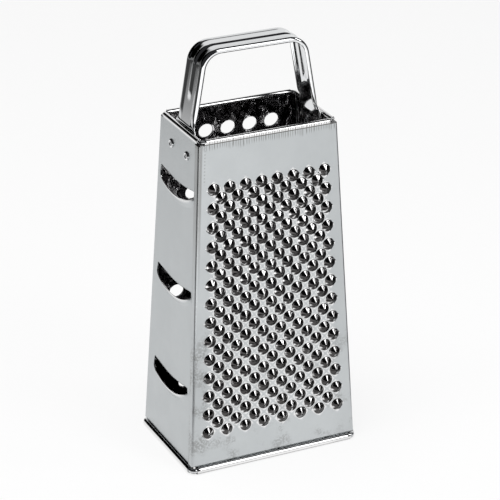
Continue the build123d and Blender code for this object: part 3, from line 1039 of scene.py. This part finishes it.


# %% [markdown]
# Finishes
#
# The flats of a grater are satin, straight from the rolling mill, while whatever was stretched over
# a tool, such as the teeth, the blades and the curled rims, has been rubbed bright. The polish
# attribute says which is which, and the roughness follows it.
#
# Polish is 0 on satin flats, 1 where the metal is rubbed bright, and rises to 2 on the cones, where
# the tone is painted dark as shade. Steel this thin is rolled, so its roughness has long fine lines
# as well as soft clouds.

# %% Panel sheet
def panel_finish(name, marks_and_shade=None):
    """Satin rolled sheet with faint cloudy stains and fine rolling lines. An optional function adds a
    darkness of marks and painted shade.

    Roughness is 0.34 plus small shares of three noises, faded to nearly 0 where polish nears 1."""
    graph = Graph(name, Metallic=1.0)
    polish = graph.node("ShaderNodeAttribute", {"attribute_name": "polish"}, output=2)
    cloud, fine = graph.noise(38.0, 4.0), graph.noise(420.0)
    lines = graph.noise(2600.0, 2.0, (1.0, 1.0, 0.02))
    bright = polish.above(0.1, 0.9)
    satin = 0.34 + 0.10 * (cloud - 0.5) + 0.06 * (fine - 0.5) + 0.05 * (lines - 0.5)
    rough = satin * (1 - bright) + (0.03 + 0.05 * fine) * bright
    tone = graph.mix(cloud.above(0.35, 0.7), (0.55, 0.575, 0.585, 1), (0.595, 0.62, 0.63, 1))
    tone = graph.mix(bright, tone, (0.86, 0.86, 0.86, 1))
    # Polish above 1 paints the cones' tone nearly black: painted shade.
    tone = graph.mix(polish.above(1.0, 2.0), tone, (0.075, 0.072, 0.072, 1))
    if marks_and_shade:
        # The one dark colour serves real marks and painted shade alike.
        tone = graph.mix(marks_and_shade(graph), tone, (0.12, 0.11, 0.10, 1))
    bump = graph.node("ShaderNodeBump", Strength=0.08, Distance=0.0002, Height=fine * 0.5 + lines * 0.5)
    return graph.feed(Base_Color=tone, Roughness=rough, Normal=bump)


panel_metal = panel_finish("panel sheet")
print(panel_metal.name, "nodes:", len(panel_metal.node_tree.nodes))

# %% [markdown]
# Marks and painted shade on the rasp side
#
# The tool that closed the top rim has left a comb of short strokes under it, and a thin dark line
# under the rim is painted shadow. A dotted line runs down beside the left fold, the fold is painted a
# little darker towards the top as shade, and old food stains the lower left corner and the feet of
# the lowest teeth. Each mark or shade is a mask made of sines, bands and noise in millimetres, and
# where two meet, the stronger one counts.

# %% Rasp sheet
def rasp_marks_and_shade(graph):
    """Darkness on the rasp side, from 0 to 1, of real marks and painted shade: the largest of six masks
    times their strengths.
    """
    x, y, z = graph.place()
    speckle, patch = graph.noise(900.0, 2.0), graph.noise(90.0, 4.0)
    from_fold = x + base_width / 2 / MM - z * ((base_width - top_width) / 2 / body_height)
    ragged = graph.noise(160.0, 3.0, (1.0, 0.05, 0.02))
    comb = (x * 4.6 + ragged * 22.0).math("SINE").above(0.2, 0.9)
    strokes = comb * (z + ragged * 5.0).above(190.6, 193.0)
    # A thin dark line under the top rim: painted shadow.
    painted_rim_shadow = z.band(192.35, 0.14, 0.2)
    fold_shade = from_fold.band(0.5, 0.8, 0.8) * z.above(95.0, 170.0)
    dots = (z * 3.3).math("SINE").above(0.0, 0.6) * from_fold.band(3.3, 0.2, 0.4) * z.band(181.0, 9.0, 3.0)
    grains = speckle.above(0.35, 0.6)
    corner_dirt = patch.above(0.42, 0.6) * grains * from_fold.band(3.0, 2.5, 4.0) * z.band(45.0, 25.0, 25.0)
    tooth_dirt = patch.above(0.5, 0.66) * grains * z.above(110.0, 30.0)
    marks_and_shade = (strokes * 0.55).either(fold_shade * 0.5).either(painted_rim_shadow * 0.95).either(dots * 0.30)
    return marks_and_shade.either(corner_dirt * 0.45).either(tooth_dirt * 0.35)


rasp_metal = panel_finish("rasp sheet", rasp_marks_and_shade)
print(rasp_metal.name, "nodes:", len(rasp_metal.node_tree.nodes))

# %% [markdown]
# The panels' inner faces
#
# Nothing rubs the inside of a grater. The sheet there is smooth, slightly wavy and full of small
# dents, so it mirrors its own dark hollow. Its tone is painted dark grey as shade of the hollow, and
# one noise makes the dents and paints a light tone on them as glints. The base rim curls outward and
# so shows this face too, but rubbed bright: there the polish attribute keeps the dents off.

# %% Inner face
def inside_finish(name):
    """Smooth wavy sheet in a dark grey tone that is painted shade: where a noise passes 0.54 there is a
    dent, and a lighter tone that is a painted glint, except where polish nears 1."""
    graph = Graph(name, Metallic=1.0)
    cloud, fine, wave = graph.noise(55.0, 3.0), graph.noise(500.0), graph.noise(200.0, 1.0, (1.0, 1.0, 0.6))
    polish = graph.node("ShaderNodeAttribute", {"attribute_name": "polish"}, output=2)
    rubbed = polish.above(0.85, 0.95)
    dents = wave.above(0.54, 0.62) * (1 - rubbed)
    # The dark grey is painted shade of the hollow, and the light tone on the dents is painted glints.
    tone = graph.mix(wave.above(0.53, 0.56), (0.10, 0.095, 0.10, 1), (0.86, 0.85, 0.86, 1))
    tone = graph.mix(rubbed, tone, (0.84, 0.84, 0.84, 1))
    bump = graph.node("ShaderNodeBump", Strength=0.3, Distance=0.0008, Height=cloud)
    bump = graph.node("ShaderNodeBump", Strength=1.0, Distance=0.0014, Height=dents, Normal=bump)
    return graph.feed(Base_Color=tone, Roughness=0.02 + 0.05 * fine, Normal=bump)


inside_metal = inside_finish("panel inside")
print(inside_metal.name, "nodes:", len(inside_metal.node_tree.nodes))

# %% [markdown]
# Strap, wire and rivets
#
# These three are polished all over and differ only in tone, in how rough they are, and in how fine
# their scratches run. A trace of waviness keeps their reflections from looking ruled.

# %% Polished metals
def bright_finish(name, tone, rough, scale):
    """Polished metal: its roughness is a floor plus a little of a noise drawn out upwards."""
    graph = Graph(name, Metallic=1.0)
    scratch, cloud = graph.noise(scale, 3.0, (1.0, 1.0, 0.15)), graph.noise(60.0, 2.0)
    colour = graph.mix(cloud, tuple(0.94 * c for c in tone) + (1,), tone + (1,))
    bump = graph.node("ShaderNodeBump", Strength=0.05, Distance=0.0002, Height=cloud)
    return graph.feed(Base_Color=colour, Roughness=scratch * 0.08 + rough, Normal=bump)


handle_metal = bright_finish("polished strap", (0.82, 0.83, 0.84), 0.04, 900.0)
wire_metal = bright_finish("drawn wire", (0.72, 0.73, 0.74), 0.07, 1400.0)
rivet_metal = bright_finish("rivet", (0.84, 0.85, 0.86), 0.03, 1200.0)
print("polished:", handle_metal.name, wire_metal.name, rivet_metal.name)

# %% [markdown]
# Handing over
#
# Every piece stands for one solid of the CAD model, hides it, and takes its material. The whole
# grater is one rigid body, so all of them ride on its root. The panels have a second material for
# the sheet's inner face, which the Solidify modifier assigns.

# %% Hand the pieces to the frame
dressed = [
    (rasp_panel, rasp_metal, "panel_sheet", "rasp_panel"),
    (coarse_panel, panel_metal, "panel_sheet", "coarse_panel"),
    (fine_panel, panel_metal, "panel_sheet", "fine_panel"),
    (slicer_panel, panel_metal, "panel_sheet", "slicer_panel"),
    (handle, handle_metal, "handle_sheet", "handle"),
    (base_wire, wire_metal, "rim_wire", "base_rim_wire"),
    (top_wire, wire_metal, "rim_wire", "top_rim_wire"),
] + [(thing, rivet_metal, "rivet_metal", f"{spot}_rivet") for spot, thing in rivets.items()]
for thing, metal, slot_name, node_name in dressed:
    thing.data.materials.append(metal)
    if metal in (panel_metal, rasp_metal):
        thing.data.materials.append(inside_metal)
        bright_inside(thing)
    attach(thing, "root")
    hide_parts(node_name)
    print(thing.name, "stands for", node_name)

# %% [markdown]
# The studio floor
#
# The floor is pale paper that turns up into a backdrop, as in a photographer's sweep, so there is no
# horizon behind the grater.

# %% Floor and backdrop
def sweep_floor(width=8.0, front_edge=-4.0, back_edge=2.2, height=3.5, radius=1.2, steps=16):
    """A floor that bends up into a backdrop: two straight runs joined by a quarter circle."""
    angles = np.radians(np.linspace(-90, 0, steps))
    bend = np.column_stack([back_edge - radius + radius * np.cos(angles),
                            radius + radius * np.sin(angles)])
    profile = np.vstack([[front_edge, 0], bend, [back_edge, height]])
    x = np.array([-width / 2, width / 2])
    points = np.stack(np.broadcast_arrays(x[None, :], profile[:, :1], profile[:, 1:]), axis=-1)
    return make_object("floor", [quads(points)])


floor = sweep_floor()
print("floor polygons:", len(floor.data.polygons))

# %% [markdown]
# What the metal sees of the floor
#
# Bare metal shows the room more than itself, and a room that is bright all round would leave it
# without any dark lines. So in reflections the paper is lit in pools, as by lamps with flags between
# them: in front and behind, on the left, and close round the foot. Between the pools it is dull, and
# right under the body it is dark. Of the backdrop, the right-hand part glows and the left hardly.

# %% Pools of light
body_x, body_y, rasp_y = 50.0, 33.0, 36.0


def reflected_light(x, y, z):
    """Brightness of the paper in reflections, at a place in millimetres: the strongest pool plus a
    little, faded out up the backdrop, plus the glow of the backdrop's right and left part."""
    distance = (x * x + y * y).math("SQRT") + 1.0
    beyond_x, beyond_y = (abs(x) - body_x).either(0.0), (abs(y) - body_y).either(0.0)
    gap = (beyond_x * beyond_x + beyond_y * beyond_y).math("SQRT")
    foot_pool = gap.above(90.0, 45.0) * 0.86

    lane = (x * 0.91 + (y + rasp_y) * 0.415).above(-95.0, -40.0)
    beside_lane = (1 - lane) * 1.5 * gap.above(140.0, 220.0)
    front_pool = (y / distance).above(-0.50, -0.72) * (lane * 0.97).either(beside_lane)

    rearward = y + rasp_y
    rear_share = rearward / ((beyond_x * beyond_x + rearward * rearward).math("SQRT") + 1.0)
    near_or_right = distance.above(1300.0, 480.0).either(x.above(-100.0, 100.0))
    back_pool = rear_share.above(0.30, 0.50) * 0.86 * near_or_right
    side_pool = 0.84 * x.above(0.0, -40.0) * gap.above(300.0, 180.0) * y.above(-60.0, -30.0)

    under = x.band(0.0, body_x - 1.0, 4.0) * y.band(0.0, body_y, 4.0)
    pools = front_pool.either(back_pool).either(foot_pool).either(side_pool)
    low_glow = (0.05 + pools) * (1 - under) * z.above(250.0, 60.0)
    wall_glow = (x / distance).above(-0.12, 0.12) * z.above(0.0, 200.0) * z.above(3500.0, 2900.0)
    left_glow = x.above(0.0, -300.0) * z.above(40.0, 90.0) * z.above(260.0, 200.0)
    return low_glow + 0.85 * wall_glow + 0.15 * left_glow


# %% [markdown]
# The paper
#
# The camera sees the paper evenly white and still sees the object's shadow on it: its shader is
# mostly a white glow, mixed with plain paper that the lamps light. The metal sees the pools only, and
# the light that the paper sends to dull surfaces is that of plain paper.

# %% Floor paper
white_share = 0.82
paper = Graph("pale paper", Base_Color=(0.86, 0.86, 0.86, 1), Roughness=0.9)
seen, mirrored, through = (paper.node("ShaderNodeLightPath", output=ray)
                           for ray in ("Is Camera Ray", "Is Glossy Ray", "Is Transmission Ray"))
direct = seen.either(through)
strength = direct + (1 - direct) * reflected_light(*paper.place())
glow = paper.node("ShaderNodeEmission", Color=strength, Strength=1.0)
share = direct * white_share + (1 - direct) * mirrored
surface = paper.node("ShaderNodeMixShader", Fac=share)
blend = surface.socket.node
paper.tree.links.new(paper.shader.outputs[0], blend.inputs[1])
paper.tree.links.new(glow.socket, blend.inputs[2])
paper.tree.links.new(surface.socket, paper.tree.nodes["Material Output"].inputs["Surface"])
floor.data.materials.append(paper.material)
print(paper.material.name, "nodes:", len(paper.tree.nodes))

# %% [markdown]
# Lamps
#
# Three soft lamps do what a small photo studio does. A wide one overhead lights the paper and gives
# the grater its soft shadow, and is hidden from the metal's gloss. A tall softbox on the right of the
# camera gives the satin its tone and the cones their highlights, and a narrow strip further round
# adds a second, finer line. Their power follows from how bright their faces should look, so a lamp
# can change its size and stay as bright.

# %% Soft lamps
def look_from(thing, aim, azimuth, elevation, distance):
    """Put a lamp or camera at a distance from the aim, at a compass angle and height, looking at it."""
    a, e = np.radians(azimuth), np.radians(elevation)
    away = np.array([np.sin(a) * np.cos(e), -np.cos(a) * np.cos(e), np.sin(e)])
    thing.location = aim + away * distance
    thing.rotation_mode = "QUATERNION"
    thing.rotation_quaternion = Vector(-away).to_track_quat("-Z", "Y")
    bpy.context.scene.collection.objects.link(thing)


def soft_lamp(name, azimuth, elevation, distance, size, radiance, in_metal=True):
    """A rectangular lamp at a compass angle and height, looking at the grater's middle.
    Its power follows from how bright its face is: pi times area times radiance."""
    light = bpy.data.lights.new(name, "AREA")
    light.shape, light.size, light.size_y = "RECTANGLE", size[0], size[1]
    light.energy = np.pi * size[0] * size[1] * radiance
    lamp = bpy.data.objects.new(name, light)
    lamp.visible_glossy = in_metal
    look_from(lamp, np.array([0, 0, 110.0]) * MM, azimuth, elevation, distance)
    return lamp


for lamp in (soft_lamp("overhead", -60, 75, 1.9, (1.5, 1.5), 6.0, in_metal=False),
             soft_lamp("softbox", 25, 34, 1.5, (0.5, 1.35), 2.6),
             soft_lamp("strip", 60, 30, 1.5, (0.2, 0.6), 6.0)):
    print(lamp.name, "watts:", round(lamp.data.energy, 2))

world = bpy.data.worlds.new("dark room")
world.use_nodes = True
world.node_tree.nodes["Background"].inputs["Color"].default_value = (0.025, 0.025, 0.027, 1)
bpy.context.scene.world = world

# %% [markdown]
# The camera
#
# The camera stands a little to the left of the grater and above it, where the photograph was taken.
# A long lens from far off keeps the upright edges nearly parallel, as they are there.

# %% Camera
camera_aim = np.array([1.04, 0.0, 113.71]) * MM
camera_data = bpy.data.cameras.new("camera")
camera_data.lens, camera_data.sensor_width = 172.15, 36.0
camera_data.clip_start, camera_data.clip_end = 0.05, 20.0
camera = bpy.data.objects.new("camera", camera_data)
look_from(camera, camera_aim, azimuth=-25.28, elevation=24.42, distance=1331.0 * MM)
bpy.context.scene.camera = camera
bpy.context.scene.view_settings.view_transform = "Standard"
print("camera at, metres:", [round(value, 3) for value in camera.location])

# %% [markdown]
# Last update
#
# The view layer is brought up to date once more before the frame is closed.

# %% Update the view layer
bpy.context.view_layer.update()
